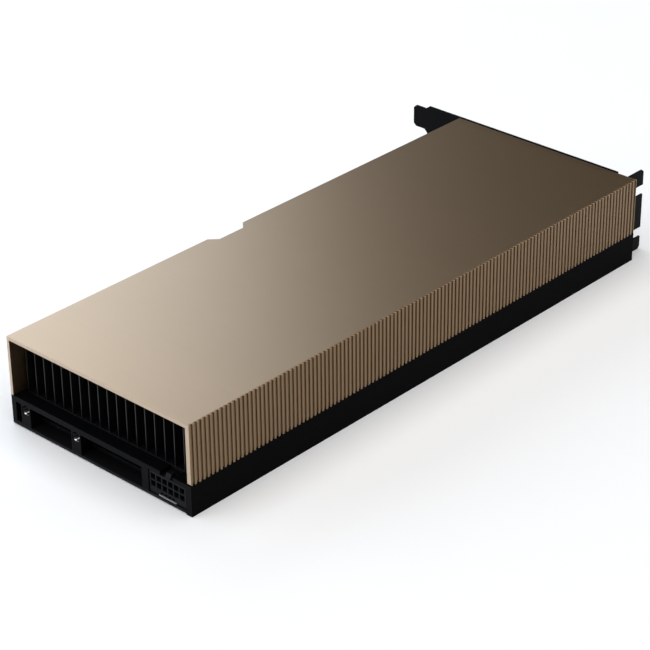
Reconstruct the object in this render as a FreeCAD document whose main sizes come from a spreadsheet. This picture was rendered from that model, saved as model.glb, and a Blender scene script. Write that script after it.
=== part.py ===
import FreeCAD, Part
import math
import os
import re

import Sketcher

# Passive accelerator card: a dual-slot, full-height, full-length server card.
# It lies with its cover up. In the sketches X runs from the power inlet end to
# the bracket, Y from the ribbed side to the contact edge and Z from the
# underside up. The finished pieces are moved so that the origin is the middle
# of the whole card's underside.

# Driving sizes in millimetres, and counts
SIZES = {
    # Cover
    "cover_length": 266.7,
    "cover_width": 97.46,
    "cover_top": 38.38,
    "frame_top": 13.0,
    "roof_thick": 1.45,
    "rib_wall": 1.85,
    "far_wall": 1.3,
    "rib_pitch": 2.165,
    "groove_start": 1.6,
    "groove_mouth": 1.1,
    "groove_floor": 0.8,
    "groove_depth": 0.7,
    "corner_cut_height": 0.8,
    "notch_before_tab": 19.0,
    "notch_floor": 13.5,
    "notch_depth": 3.5,
    # Frame
    "frame_wall": 2.9,
    "rear_wall": 5.5,
    "front_wall": 4.0,
    "rail_bottom": 10.65,
    "inlet_start": 2.7,
    "inlet_width": 19.6,
    "pillar_width": 3.5,
    "inner_recess": 32.9,
    "post_width": 5.2,
    "outer_post_inset": 10.46,
    "end_slot": 2.9,
    "end_slot_sill": 0.7,
    "latch_notch": 6.7,
    "insert_height": 8.8,
    "insert_outer": 2.1,
    "insert_bore": 1.6,
    "insert_length": 5.0,
    "insert_recess": 0.2,
    "side_clear": 0.1,
    "ear_chamfer": 1.6,
    "hook_thick": 0.9,
    "hook_length": 8.0,
    "hook_height": 4.0,
    "lug_thick": 1.2,
    "lug_length": 9.0,
    "lug_height": 6.0,
    "lug_margin": 20.0,
    # Board and the plates under it
    "plate_thick": 1.7,
    "plate_chamfer": 0.55,
    "plate_rim": 2.0,
    "film_thick": 0.2,
    "film_margin": 4.0,
    "board_gap": 2.67,
    "board_thick": 1.57,
    "board_reach": 5.44,
    "board_clear": 0.3,
    "tab_to_bracket": 141.0,
    "tab_length": 85.7,
    "tab_reach": 13.69,
    "tab_chamfer": 1.2,
    "key_from_tab_end": 11.65,
    "key_width": 1.9,
    "key_depth": 7.6,
    "hook_leg": 6.3,
    "hook_gap": 4.2,
    "hook_catch": 1.8,
    "hook_reach": 12.44,
    "catch_height": 3.0,
    "contact_pitch": 1.0,
    "contact_width": 0.7,
    "contact_length": 5.6,
    "contact_thick": 0.05,
    "contact_setback": 0.45,
    "short_contacts": 11,
    "long_contacts": 71,
    # Supports and screws under the card
    "support_start": 18.0,
    "support_end": 26.0,
    "support_columns": 4,
    "support_near": 8.0,
    "support_inset": 6.46,
    "support_radius": 3.0,
    "screw_radius": 1.0,
    "screw_clear": 0.05,
    "screw_head": 1.9,
    "screw_cone": 0.9,
    "screw_length": 9.2,
    "hole_clear": 0.25,
    # Processor package
    "chip_to_bracket": 108.7,
    "substrate_side": 55.0,
    "substrate_thick": 1.8,
    "stiffener_side": 54.0,
    "stiffener_inner": 46.4,
    "stiffener_thick": 0.75,
    "die_length": 25.0,
    "die_width": 33.0,
    "die_thick": 0.78,
    "memory_length": 9.6,
    "memory_width": 11.0,
    "memory_gap": 0.4,
    "memory_rows": 3,
    "paste_thick": 0.1,
    "package_screws": 66.0,
    # Heatsink
    "base_bottom": 10.3,
    "base_thick": 3.0,
    "base_start": 5.7,
    "base_setback": 8.7,
    "base_clear": 0.3,
    "pedestal_side": 45.6,
    "fin_pitch": 5.0,
    "fin_margin": 1.0,
    "fin_thick": 0.42,
    "fin_roof_gap": 0.4,
    "fin_setback": 8.3,
    "fins_between": 2,
    # Parts soldered on the board
    "stage_rows": 8,
    "stage_pitch": 8.6,
    "stage_length": 5.0,
    "stage_width": 6.0,
    "stage_height": 1.0,
    "stage_offset": 47.0,
    "pad_thick": 1.0,
    "inductor_length": 6.6,
    "inductor_width": 7.0,
    "inductor_height": 4.4,
    "inductor_offset": 57.0,
    "chip_cap_length": 4.3,
    "chip_cap_width": 6.0,
    "chip_cap_height": 2.8,
    "chip_cap_offset": 36.0,
    "chip_cap_rows": 5,
    "chip_cap_pitch": 10.0,
    "can_radius": 3.15,
    "can_height": 5.6,
    "can_start": 44.0,
    "can_near": 16.0,
    "can_pitch": 9.0,
    "can_count": 6,
    "choke_side": 11.0,
    "choke_height": 5.2,
    "choke_start": 20.0,
    "choke_near": 36.0,
    "choke_pitch": 15.0,
    "choke_count": 3,
    "control_side": 6.0,
    "control_height": 0.9,
    "control_to_bracket": 37.7,
    "control_near": 22.0,
    "control_pitch": 34.0,
    "flash_length": 5.2,
    "flash_width": 7.9,
    "flash_height": 1.8,
    "flash_gap": 18.5,
    "clock_length": 3.2,
    "clock_width": 2.5,
    "clock_height": 0.8,
    "clock_gap": 6.0,
    "ceramic_length": 1.6,
    "ceramic_width": 0.8,
    "ceramic_height": 0.8,
    "ceramic_pitch": 3.4,
    "ceramic_count": 14,
    "ceramic_offset": 30.0,
    # Power inlet
    "inlet_center": 12.7,
    "housing_width": 18.9,
    "housing_front": 0.4,
    "housing_depth": 13.2,
    "housing_bottom": 2.0,
    "housing_top": 11.0,
    "cell_pitch": 3.0,
    "cell_side": 2.3,
    "cell_columns": 6,
    "cell_low": 5.85,
    "cell_depth": 9.0,
    "pin_side": 0.9,
    "pin_length": 6.0,
    "sense_count": 4,
    "sense_pitch": 2.0,
    "sense_width": 1.3,
    "sense_height": 0.8,
    "sense_low": 3.2,
    "sense_depth": 4.0,
    "sense_pin": 0.5,
    "sense_reach": 3.0,
    "lip_width": 9.0,
    "lip_height": 0.5,
    "lip_reach": 0.4,
    "latch_width": 2.6,
    "latch_length": 3.2,
    "latch_height": 1.7,
    "latch_ramp": 1.1,
    # Bracket
    "bracket_thick": 0.86,
    "bracket_top": 38.74,
    "bracket_span": 120.02,
    "flange_face": 4.5,
    "flange_reach": 11.43,
    "flange_drop": 0.8,
    "flange_chamfer": 1.1,
    "relief_width": 5.7,
    "slot_pitch": 20.32,
    "slot_count": 2,
    "screw_notch": 4.42,
    "screw_notch_low": 8.15,
    "screw_notch_floor": 5.2,
    "plate_end": 116.57,
    "tongue_low": 6.58,
    "tongue_width": 10.19,
    "tongue_chamfer": 1.3,
    "tongue_root": 1.6,
    "shoulder_root": 0.8,
    "corner_cut": 1.2,
    "vent_margin": 8.7,
    "vent_width": 3.0,
    "vent_low": 16.2,
    "vent_height": 18.4,
    "vent_pitch": 5.0,
    "vent_corner": 0.9,
    "bracket_screw_start": 15.0,
    "bracket_screw_pitch": 34.0,
    "bracket_screw_count": 3,
    "bracket_screw_height": 8.0,
    "past": 1.0,
}

# Places worked out from the driving sizes
BOARD_TOP = "(board_gap + board_thick)"
BASE_TOP = "(base_bottom + base_thick)"
TAB_START = "(cover_length - tab_to_bracket)"
BOARD_EDGE = "(cover_width + board_reach)"
TAB_BOTTOM = "(cover_width + tab_reach)"
HOOK_BOTTOM = "(cover_width + hook_reach)"
NOTCH_START = "(" + TAB_START + " - notch_before_tab)"
NOTCH_END = "(" + NOTCH_START + " + notch_floor + 2 * notch_depth)"
INNER_POST = "(inlet_start + inlet_width + pillar_width + inner_recess)"
OUTER_RECESS = "(" + INNER_POST + " + post_width)"
OUTER_POST = "(cover_width - outer_post_inset)"
END_SLOT = "(" + OUTER_POST + " + post_width)"
PACKAGE_TOP = "(" + BOARD_TOP + " + substrate_thick)"
PASTE_BOTTOM = "(" + PACKAGE_TOP + " + die_thick)"
PEDESTAL = "(" + PASTE_BOTTOM + " + paste_thick)"
SCREW_HOLE = "(screw_radius + screw_clear)"
FIN_ROOM = "(cover_width - rib_wall - far_wall - 2 * fin_margin)"
FIN_GAPS = "floor(" + FIN_ROOM + " / fin_pitch)"
FIRST_FIN = "(cover_width / 2 - " + FIN_GAPS + " * fin_pitch / 2)"
VENT_GAPS = "floor((cover_width - 2 * vent_margin) / vent_pitch)"
FIRST_VENT = "(cover_width / 2 - " + VENT_GAPS + " * vent_pitch / 2)"
FRAME_END = "(cover_length - front_wall)"
BOARD_START = "(rear_wall + board_clear)"
BOARD_END = "(" + FRAME_END + " - board_clear)"
KEY_START = "(" + TAB_START + " + tab_length - key_from_tab_end - key_width)"
LUG_HOLE = "(frame_top + lug_height / 2)"
CHIP_X = "(cover_length - chip_to_bracket)"
CHIP_Y = "(cover_width / 2)"
BASE_END = "(cover_length - base_setback)"
SUPPORT_FAR = "(cover_width - support_inset)"
SUPPORT_ROOM = "(cover_length - support_start - support_end)"
SUPPORT_PITCH = "(" + SUPPORT_ROOM + " / (support_columns - 1))"
STAGE_SPAN = "((stage_rows - 1) * stage_pitch + stage_width)"
INNER_RECESS = "(inlet_start + inlet_width + pillar_width)"
FIRST_INSERT = "(" + INNER_POST + " + post_width / 2)"
INSERT_PITCH = "(" + OUTER_POST + " - " + INNER_POST + ")"
PAIR = "2"
# Small screws, their holes and the cans are many-sided, which keeps the model light
RING_SIDES = 12
POST_SIDES = 6

# The two stretches of the far side that the latch notch parts
STRETCHES = (("0", NOTCH_START), (NOTCH_END, "cover_length"))

document = FreeCAD.newDocument("accelerator_card")
pieces = []


def fill_sheet():
    """Write each driving size into its own named cell."""
    sheet = document.addObject("Spreadsheet::Sheet", "sizes")
    for line, (name, value) in enumerate(SIZES.items(), start=1):
        sheet.set("A%d" % line, name)
        sheet.set("B%d" % line, str(value))
        sheet.setAlias("B%d" % line, name)
    document.recompute()


def cells(formula):
    """Point each size name of a formula at its cell in the sheet."""
    return re.sub(r"\b[a-z][a-z_]+\b(?!\()", lambda word: "sizes." + word.group(), formula)


def bind(thing, **formulas):
    for name, formula in formulas.items():
        thing.setExpression(name, cells(formula))


def new_body(label):
    """Start a piece whose origin is moved to the middle of the card's underside."""
    body = document.addObject("PartDesign::Body", label)
    body.Label = label
    body.AllowCompound = True
    body.setExpression("Placement.Base.x", cells("-(cover_length + flange_reach) / 2"))
    body.setExpression("Placement.Base.y", cells("-(flange_face + bracket_span) / 2"))
    pieces.append(body)
    return body


def origin_part(body, role):
    return next(part for part in body.Origin.OriginFeatures if part.Role == role)


def new_sketch(body, plane, across="0", up="0", out="0"):
    """Lay a sketch on one of the body's own planes, moved by the given formulas."""
    sketch = body.newObject("Sketcher::SketchObject", "Sketch")
    sketch.AttachmentSupport = (origin_part(body, plane), [""])
    sketch.MapMode = "FlatFace"
    for axis, formula in (("x", across), ("y", up), ("z", out)):
        sketch.setExpression("AttachmentOffset.Base." + axis, cells(formula))
    return sketch


def hold(sketch, kind, target, formula, start=1.0):
    """Add a size constraint that follows its formula."""
    index = sketch.addConstraint(Sketcher.Constraint(kind, *target, start))
    sketch.setExpression("Constraints[%d]" % index, cells(formula))


def hold_point(sketch, curve, point, across, up, near):
    hold(sketch, "DistanceX", (-1, 1, curve, point), across, near.x)
    hold(sketch, "DistanceY", (-1, 1, curve, point), up, near.y)


def outline(sketch, *corners):
    """Draw a closed outline of straight lines through corners given as formulas."""
    count = len(corners)
    turns = [2 * math.pi * step / count for step in range(count + 1)]
    places = [FreeCAD.Vector(math.cos(turn), math.sin(turn), 0) for turn in turns]
    first = sketch.GeometryCount
    for start, end in zip(places, places[1:]):
        sketch.addGeometry(Part.LineSegment(start, end), False)
    for step in range(count):
        follower = first + (step + 1) % count
        sketch.addConstraint(Sketcher.Constraint("Coincident", first + step, 2, follower, 1))
    for step, (across, up) in enumerate(corners):
        hold_point(sketch, first + step, 1, across, up, places[step])


def rectangle(sketch, across, up, width, height):
    """Draw a rectangle from its lower corner and its two sides."""
    right = "%s + %s" % (across, width)
    top = "%s + %s" % (up, height)
    outline(sketch, (across, up), (right, up), (right, top), (across, top))


def ring(sketch, across, up, radius, around=False, sides=RING_SIDES):
    """Draw a many-sided outline inside a circle, or around it for a hole."""
    reach = 1 / math.cos(math.pi / sides) if around else 1
    turns = [2 * math.pi * step / sides for step in range(sides)]
    outline(sketch, *(("%s + %.6f * (%s)" % (across, reach * math.cos(turn), radius),
                       "%s + %.6f * (%s)" % (up, reach * math.sin(turn), radius))
                      for turn in turns))


def circle(sketch, across, up, radius):
    center = FreeCAD.Vector(1, 1, 0)
    curve = sketch.addGeometry(Part.Circle(center, FreeCAD.Vector(0, 0, 1), 1), False)
    hold_point(sketch, curve, 3, across, up, center)
    hold(sketch, "Radius", (curve,), radius)


def pad(body, sketch, length, turned_back=False):
    feature = body.newObject("PartDesign::Pad", "Pad")
    feature.Profile = sketch
    feature.Reversed = turned_back
    bind(feature, Length=length)
    return feature


def pocket(body, sketch, length, turned_back=False):
    feature = body.newObject("PartDesign::Pocket", "Pocket")
    feature.Profile = sketch
    feature.Reversed = turned_back
    bind(feature, Length=length)
    return feature


def turned(body, sketch, axis):
    """Spin a half profile about one axis of its sketch."""
    feature = body.newObject("PartDesign::Revolution", "Revolution")
    feature.Profile = sketch
    feature.ReferenceAxis = (sketch, [axis])
    feature.Angle = 360
    return feature


def row_pattern(body, axis, pitch, count):
    pattern = body.newObject("PartDesign::LinearPattern", "Row")
    pattern.Direction = (origin_part(body, axis), [""])
    pattern.Mode = "Spacing"
    bind(pattern, Offset=pitch, Occurrences=count)
    return pattern


def repeat(body, feature, axis, pitch, count, second=None):
    """Repeat features in a row, or as a grid where a second row is given."""
    if second:
        pattern = body.newObject("PartDesign::MultiTransform", "Grid")
        rows = [row_pattern(body, axis, pitch, count), row_pattern(body, *second)]
        pattern.Transformations = rows
    else:
        pattern = row_pattern(body, axis, pitch, count)
    pattern.Originals = feature if isinstance(feature, list) else [feature]
    body.Tip = pattern
    return pattern


def block(body, x, y, z, length, width, height):
    """Add a straight block, given its lowest corner and its sides."""
    sketch = new_sketch(body, "XY_Plane", out=z)
    rectangle(sketch, x, y, length, width)
    return pad(body, sketch, height)


def cut_block(body, x, y, z, length, width, height):
    """Cut a straight block out, given its lowest corner and its sides."""
    sketch = new_sketch(body, "XY_Plane", out=z)
    rectangle(sketch, x, y, length, width)
    return pocket(body, sketch, height, turned_back=True)


def plan(sketch, start, end, near, shift):
    """Draw the card's plan with the latch notch, its far side moved in by shift."""
    step = "(sqrt(2) - 1) * (%s)" % shift
    side = "cover_width - (%s)" % shift
    floor = side + " - notch_depth"
    outline(
        sketch,
        (start, near),
        (end, near),
        (end, side),
        (NOTCH_END + " + " + step, side),
        (NOTCH_END + " - notch_depth + " + step, floor),
        (NOTCH_START + " + notch_depth - " + step, floor),
        (NOTCH_START + " - " + step, side),
        (start, side),
    )


def screws(body, plane, place, face, length, clear, cutting, along=True):
    """Make a countersunk screw or its hole: a straight shank, then the tapered head."""
    across, up = place
    made = []
    for radius, depth in (("screw_radius", length), ("screw_head", "screw_cone")):
        sketch = new_sketch(body, plane, out=face)
        ring(sketch, across, up, radius + " + " + clear, cutting)
        if cutting:
            made.append(pocket(body, sketch, depth, turned_back=along))
        else:
            made.append(pad(body, sketch, depth, turned_back=not along))
    bind(made[-1], TaperAngle="-atan((screw_head - screw_radius) / screw_cone)")
    return made


def support_grid(body, feature):
    """Repeat a feature at every screw along the two long sides."""
    across = SUPPORT_FAR + " - support_near"
    return repeat(body, feature, "X_Axis", SUPPORT_PITCH, "support_columns",
                  ("Y_Axis", across, PAIR))


def package_grid(body, feature):
    """Repeat a feature at the four screws round the processor package."""
    return repeat(body, feature, "X_Axis", "package_screws", PAIR,
                  ("Y_Axis", "package_screws", PAIR))


SUPPORTS = ("support_start", "support_near", support_grid)
PACKAGE = (CHIP_X + " - package_screws / 2", CHIP_Y + " - package_screws / 2", package_grid)


def post(body, place, low, radius, height):
    """Raise a six-sided post at each screw of one grid."""
    x, y, grid = place
    sketch = new_sketch(body, "XY_Plane", out=low)
    ring(sketch, x, y, radius, sides=POST_SIDES)
    grid(body, pad(body, sketch, height))


def bore(body, place, low, radius, height):
    """Cut a straight hole at each screw of one grid."""
    x, y, grid = place
    sketch = new_sketch(body, "XY_Plane", out=low)
    ring(sketch, x, y, radius, around=True)
    grid(body, pocket(body, sketch, height, turned_back=True))


def standing_screws(body, place, clear, cutting=False):
    """Make the screws of one grid, or their countersunk holes, up from the underside."""
    x, y, grid = place
    grid(body, screws(body, "XY_Plane", (x, y), "0", "screw_length", clear, cutting))


def far_side_screws(body, length, clear, cutting=False):
    """Make the cover's screws, or their countersunk holes, in from the far side."""
    for start, end in STRETCHES:
        place = (start + " + lug_margin", LUG_HOLE)
        made = screws(body, "XZ_Plane", place, "-cover_width", length, clear, cutting)
        repeat(body, made, "X_Axis", lug_gap(start, end), PAIR)


def bracket_screws(body, clear, cutting=False):
    """Make the bracket's screws, or their countersunk holes, in from its outer face."""
    place = ("bracket_screw_start", "bracket_screw_height")
    made = screws(body, "YZ_Plane", place, "cover_length + bracket_thick",
                  "bracket_thick + front_wall", clear, cutting, along=False)
    repeat(body, made, "Y_Axis", "bracket_screw_pitch", "bracket_screw_count")


def lug_gap(start, end):
    """Give the space between the two lugs of one stretch of the far side."""
    return "%s - %s - 2 * lug_margin" % (end, start)


def make_cover():
    """Shell with a roof, a plain far wall and a ribbed near wall, open at both ends."""
    body = new_body("top_cover")
    shell = new_sketch(body, "XY_Plane", out="frame_top")
    plan(shell, "0", "cover_length", "0", "0")
    pad(body, shell, "cover_top - frame_top")
    duct = new_sketch(body, "XY_Plane", out="frame_top")
    plan(duct, "-past", "cover_length + past", "rib_wall", "far_wall")
    pocket(body, duct, "cover_top - frame_top - roof_thick", turned_back=True)
    groove = new_sketch(body, "XY_Plane", across="groove_start", out="frame_top")
    outline(
        groove,
        ("-groove_mouth / 2", "0"),
        ("groove_mouth / 2", "0"),
        ("groove_floor / 2", "groove_depth"),
        ("-groove_floor / 2", "groove_depth"),
    )
    cut = pocket(body, groove, "cover_top - frame_top", turned_back=True)
    count = "floor((cover_length - groove_start - groove_mouth / 2) / rib_pitch) + 1"
    repeat(body, cut, "X_Axis", "rib_pitch", count)
    corner = new_sketch(body, "XZ_Plane", out="past")
    outline(corner, ("0", "frame_top"), ("corner_cut_height", "frame_top"),
            ("0", "frame_top + corner_cut_height"))
    pocket(body, corner, "rib_wall + 2 * past")
    far_side_screws(body, "far_wall + past", "screw_clear", cutting=True)


def make_frame():
    """Moulded ring under the cover, with the rear face and the seats for the heatsink."""
    body = new_body("base_frame")
    ring = new_sketch(body, "XY_Plane")
    plan(ring, "0", "cover_length", "0", "0")
    pad(body, ring, "frame_top")
    inside = new_sketch(body, "XY_Plane", out="-past")
    plan(inside, "rear_wall", FRAME_END, "frame_wall", "frame_wall")
    pocket(body, inside, "frame_top + 2 * past", turned_back=True)
    cut_block(body, "-past", "frame_wall", "-past",
              "cover_length + 2 * past", "cover_width", "plate_thick + past")
    cut_block(body, "rear_wall", SUPPORT_FAR, "-past",
              FRAME_END + " - rear_wall", "cover_width", BOARD_TOP + " + past")
    cut_rear_openings(body)
    add_ears(body)
    add_hooks(body)
    bracket_screws(body, "screw_clear", cutting=True)


def cut_rear_openings(body):
    """Open the rear face: two air recesses, an end slot, the inlet and two insert holes."""
    rail = "rail_bottom - plate_thick"
    windows = new_sketch(body, "YZ_Plane")
    rectangle(windows, INNER_RECESS, "plate_thick", "inner_recess", rail)
    rectangle(windows, OUTER_RECESS, "plate_thick", OUTER_POST + " - " + OUTER_RECESS, rail)
    rectangle(windows, END_SLOT, "plate_thick + end_slot_sill", "end_slot",
              rail + " - end_slot_sill")
    pocket(body, windows, "rear_wall", turned_back=True)
    inlet = new_sketch(body, "YZ_Plane")
    rectangle(inlet, "inlet_start", "plate_thick", "inlet_width",
              "housing_top + board_clear - plate_thick")
    pocket(body, inlet, "rear_wall", turned_back=True)
    latch = new_sketch(body, "YZ_Plane")
    rectangle(latch, "inlet_center - latch_notch / 2", "housing_top", "latch_notch",
              "frame_top")
    pocket(body, latch, "rear_wall", turned_back=True)
    inserts = new_sketch(body, "YZ_Plane")
    circle(inserts, FIRST_INSERT, "insert_height", "insert_outer")
    cut = pocket(body, inserts, "rear_wall", turned_back=True)
    repeat(body, cut, "Y_Axis", INSERT_PITCH, PAIR)


def add_ears(body):
    """Add the screw ears that stand on the board and carry the heatsink base."""
    for wall, reach, sense in (("frame_wall", "support_near", "1"),
                               ("(cover_width - frame_wall)", SUPPORT_FAR, "-1")):
        tip = "%s + %s * support_radius" % (reach, sense)
        shoulder = "%s - %s * ear_chamfer" % (tip, sense)
        ear = new_sketch(body, "XY_Plane", across="support_start", out=BOARD_TOP)
        outline(
            ear,
            ("-support_radius", wall),
            ("support_radius", wall),
            ("support_radius", shoulder),
            ("support_radius - ear_chamfer", tip),
            ("-support_radius + ear_chamfer", tip),
            ("-support_radius", shoulder),
        )
        raised = pad(body, ear, "base_bottom - " + BOARD_TOP)
        repeat(body, raised, "X_Axis", SUPPORT_PITCH, "support_columns")
    bore(body, SUPPORTS, BOARD_TOP, SCREW_HOLE, "base_bottom - " + BOARD_TOP)


def add_hooks(body):
    """Add the tongues inside the ribbed wall and the screw lugs inside the far wall."""
    hooks = block(body, "support_start - hook_length / 2", "rib_wall + side_clear",
                  "frame_top", "hook_length", "hook_thick", "hook_height")
    repeat(body, hooks, "X_Axis", SUPPORT_PITCH, "support_columns")
    inner = "cover_width - far_wall - side_clear"
    for start, end in STRETCHES:
        first = start + " + lug_margin"
        lug = block(body, first + " - lug_length / 2", inner + " - lug_thick",
                    "frame_top", "lug_length", "lug_thick", "lug_height")
        repeat(body, lug, "X_Axis", lug_gap(start, end), PAIR)
        hole = new_sketch(body, "XZ_Plane", out="-(%s)" % inner)
        ring(hole, first, LUG_HOLE, SCREW_HOLE, around=True)
        cut = pocket(body, hole, "lug_thick", turned_back=True)
        repeat(body, cut, "X_Axis", lug_gap(start, end), PAIR)


def make_backplate():
    """Plate that closes the underside, with low bosses that carry the board."""
    body = new_body("backplate")
    near = "frame_wall + side_clear"
    sheet = new_sketch(body, "XY_Plane")
    plan(sheet, "0", "cover_length", near, "0")
    pad(body, sheet, "plate_thick")
    for x, sense in (("0", "1"), ("cover_length", "-1")):
        edge = new_sketch(body, "XZ_Plane", out="past")
        slope = "%s + %s * plate_chamfer" % (x, sense)
        outline(edge, (x, "0"), (x, "plate_chamfer"), (slope, "0"))
        pocket(body, edge, "cover_width + 2 * past")
    rise = "board_gap - plate_thick"
    for start, end in ((BOARD_START, NOTCH_START), (NOTCH_END, BOARD_END)):
        block(body, start, "cover_width - plate_rim", "plate_thick",
              "%s - %s" % (end, start), "plate_rim", rise)
    for place in (SUPPORTS, PACKAGE):
        post(body, place, "plate_thick", "support_radius", rise)
        standing_screws(body, place, "screw_clear", cutting=True)


def make_film():
    """Thin insulating sheet that lies on the backplate."""
    body = new_body("insulating_film")
    start = "rear_wall + film_margin"
    near = "frame_wall + film_margin"
    block(body, start, near, "plate_thick", "%s - film_margin - (%s)" % (FRAME_END, start),
          "cover_width - notch_depth - plate_rim - (%s)" % near, "film_thick")
    side = "2 * (support_radius + hole_clear)"
    for x, y, grid in (SUPPORTS, PACKAGE):
        x, y = centered(x, y, side, side)
        grid(body, cut_block(body, x, y, "plate_thick", side, side, "film_thick"))


def make_board():
    """Circuit board with its contact tab, the key notch and the latch hook."""
    body = new_body("circuit_board")
    near = "frame_wall + board_clear"
    tab_end = TAB_START + " + tab_length"
    key_floor = TAB_BOTTOM + " - key_depth"
    leg_end = TAB_START + " - hook_gap"
    leg_start = leg_end + " - hook_leg"
    catch = HOOK_BOTTOM + " - catch_height"
    shape = new_sketch(body, "XY_Plane", out="board_gap")
    outline(
        shape,
        (BOARD_START, near),
        (BOARD_END, near),
        (BOARD_END, BOARD_EDGE),
        (tab_end, BOARD_EDGE),
        (tab_end, TAB_BOTTOM + " - tab_chamfer"),
        (tab_end + " - tab_chamfer", TAB_BOTTOM),
        (KEY_START + " + key_width", TAB_BOTTOM),
        (KEY_START + " + key_width", key_floor),
        (KEY_START, key_floor),
        (KEY_START, TAB_BOTTOM),
        (TAB_START + " + tab_chamfer", TAB_BOTTOM),
        (TAB_START, TAB_BOTTOM + " - tab_chamfer"),
        (TAB_START, BOARD_EDGE),
        (leg_end, BOARD_EDGE),
        (leg_end, catch),
        (leg_end + " + hook_catch", catch),
        (leg_end + " + hook_catch", HOOK_BOTTOM),
        (leg_start, HOOK_BOTTOM),
        (leg_start, BOARD_EDGE),
        (BOARD_START, BOARD_EDGE),
    )
    pad(body, shape, "board_thick")
    for place in (SUPPORTS, PACKAGE):
        bore(body, place, "board_gap", "screw_radius + hole_clear", "board_thick")


def make_contacts():
    """Gilded contact strips on both faces of the tab."""
    body = new_body("edge_contacts")
    short_start = KEY_START + " + key_width"
    rows = (
        (short_start, "key_from_tab_end", "short_contacts"),
        (TAB_START, "(tab_length - key_from_tab_end - key_width)", "long_contacts"),
    )
    low = TAB_BOTTOM + " - contact_setback - contact_length"
    for face in (BOARD_TOP, "board_gap - contact_thick"):
        for start, room, count in rows:
            used = "((%s - 1) * contact_pitch + contact_width)" % count
            first = "%s + (%s - %s) / 2" % (start, room, used)
            strip = block(body, first, low, face,
                          "contact_width", "contact_length", "contact_thick")
            repeat(body, strip, "X_Axis", "contact_pitch", count)


def blocks(label, first, sizes, *rows):
    """Make a piece of equal blocks: one block, then each row or grid of copies."""
    body = new_body(label)
    solid = block(body, *first, *sizes)
    if rows:
        repeat(body, solid, *rows)
    return body


def centered(x, y, length, width):
    return "%s - %s / 2" % (x, length), "%s - %s / 2" % (y, width)


def make_package():
    """Processor package: substrate, stiffener ring, die, memory stacks and paste."""
    x, y = centered(CHIP_X, CHIP_Y, "substrate_side", "substrate_side")
    blocks("chip_substrate", (x, y, BOARD_TOP),
           ("substrate_side", "substrate_side", "substrate_thick"))
    x, y = centered(CHIP_X, CHIP_Y, "stiffener_side", "stiffener_side")
    ring = blocks("package_stiffener", (x, y, PACKAGE_TOP),
                  ("stiffener_side", "stiffener_side", "stiffener_thick"))
    x, y = centered(CHIP_X, CHIP_Y, "stiffener_inner", "stiffener_inner")
    cut_block(ring, x, y, PACKAGE_TOP, "stiffener_inner", "stiffener_inner", "stiffener_thick")
    x, y = centered(CHIP_X, CHIP_Y, "die_length", "die_width")
    blocks("processor_die", (x, y, PACKAGE_TOP), ("die_length", "die_width", "die_thick"))
    span = "(die_length + 2 * (memory_gap + memory_length))"
    depth = "(memory_rows * (memory_width + memory_gap) - memory_gap)"
    x, y = centered(CHIP_X, CHIP_Y, span, depth)
    blocks("memory_stacks", (x, y, PACKAGE_TOP), ("memory_length", "memory_width", "die_thick"),
           "X_Axis", "die_length + 2 * memory_gap + memory_length", PAIR,
           ("Y_Axis", "memory_width + memory_gap", "memory_rows"))
    blocks("thermal_paste", (x, y, PASTE_BOTTOM), (span, depth, "paste_thick"))


def make_heatsink_base():
    """Heatsink base: a flat plate with the package pedestal, pad ribs and screw pillars."""
    body = new_body("heatsink_base")
    plate = new_sketch(body, "XY_Plane", out="base_bottom")
    edge = "frame_wall + base_clear"
    plan(plate, "base_start", BASE_END, edge, edge)
    pad(body, plate, "base_thick")
    x, y = centered(CHIP_X, CHIP_Y, "pedestal_side", "pedestal_side")
    block(body, x, y, PEDESTAL, "pedestal_side", "pedestal_side", "base_bottom - " + PEDESTAL)
    low = "(%s + stage_height + pad_thick)" % BOARD_TOP
    x, y = centered(CHIP_X + " - stage_offset", CHIP_Y, "stage_length", STAGE_SPAN)
    rib = block(body, x, y, low, "stage_length", STAGE_SPAN, "base_bottom - " + low)
    repeat(body, rib, "X_Axis", "2 * stage_offset", PAIR)
    height = "base_bottom - " + BOARD_TOP
    post(body, PACKAGE, BOARD_TOP, "support_radius", height)
    bore(body, PACKAGE, BOARD_TOP, SCREW_HOLE, height)
    cut_block(body, "0", "0", "base_bottom", "housing_front + housing_depth + base_clear",
              "inlet_center + housing_width / 2 + base_clear",
              "housing_top + base_clear - base_bottom")


def make_fins():
    """Thin upright fins; those between the main ones start further in from the inlet end."""
    body = new_body("heatsink_fins")
    height = "cover_top - roof_thick - fin_roof_gap - " + BASE_TOP
    rows = [("base_start", "0", FIN_GAPS + " + 1")]
    for step in range(1, SIZES["fins_between"] + 1):
        shift = "%d * fin_pitch / (fins_between + 1)" % step
        rows.append(("base_start + fin_setback", shift, FIN_GAPS))
    for start, shift, count in rows:
        fin = block(body, start, "%s + %s - fin_thick / 2" % (FIRST_FIN, shift), BASE_TOP,
                    "%s - (%s)" % (BASE_END, start), "fin_thick", height)
        repeat(body, fin, "Y_Axis", "fin_pitch", count)
    room = "(far_wall + base_clear)"
    cut_block(body, "%s - %s" % (NOTCH_START, room), "cover_width - notch_depth - " + room,
              BASE_TOP, "%s - %s + 2 * %s" % (NOTCH_END, NOTCH_START, room), "cover_width",
              height)


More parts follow.
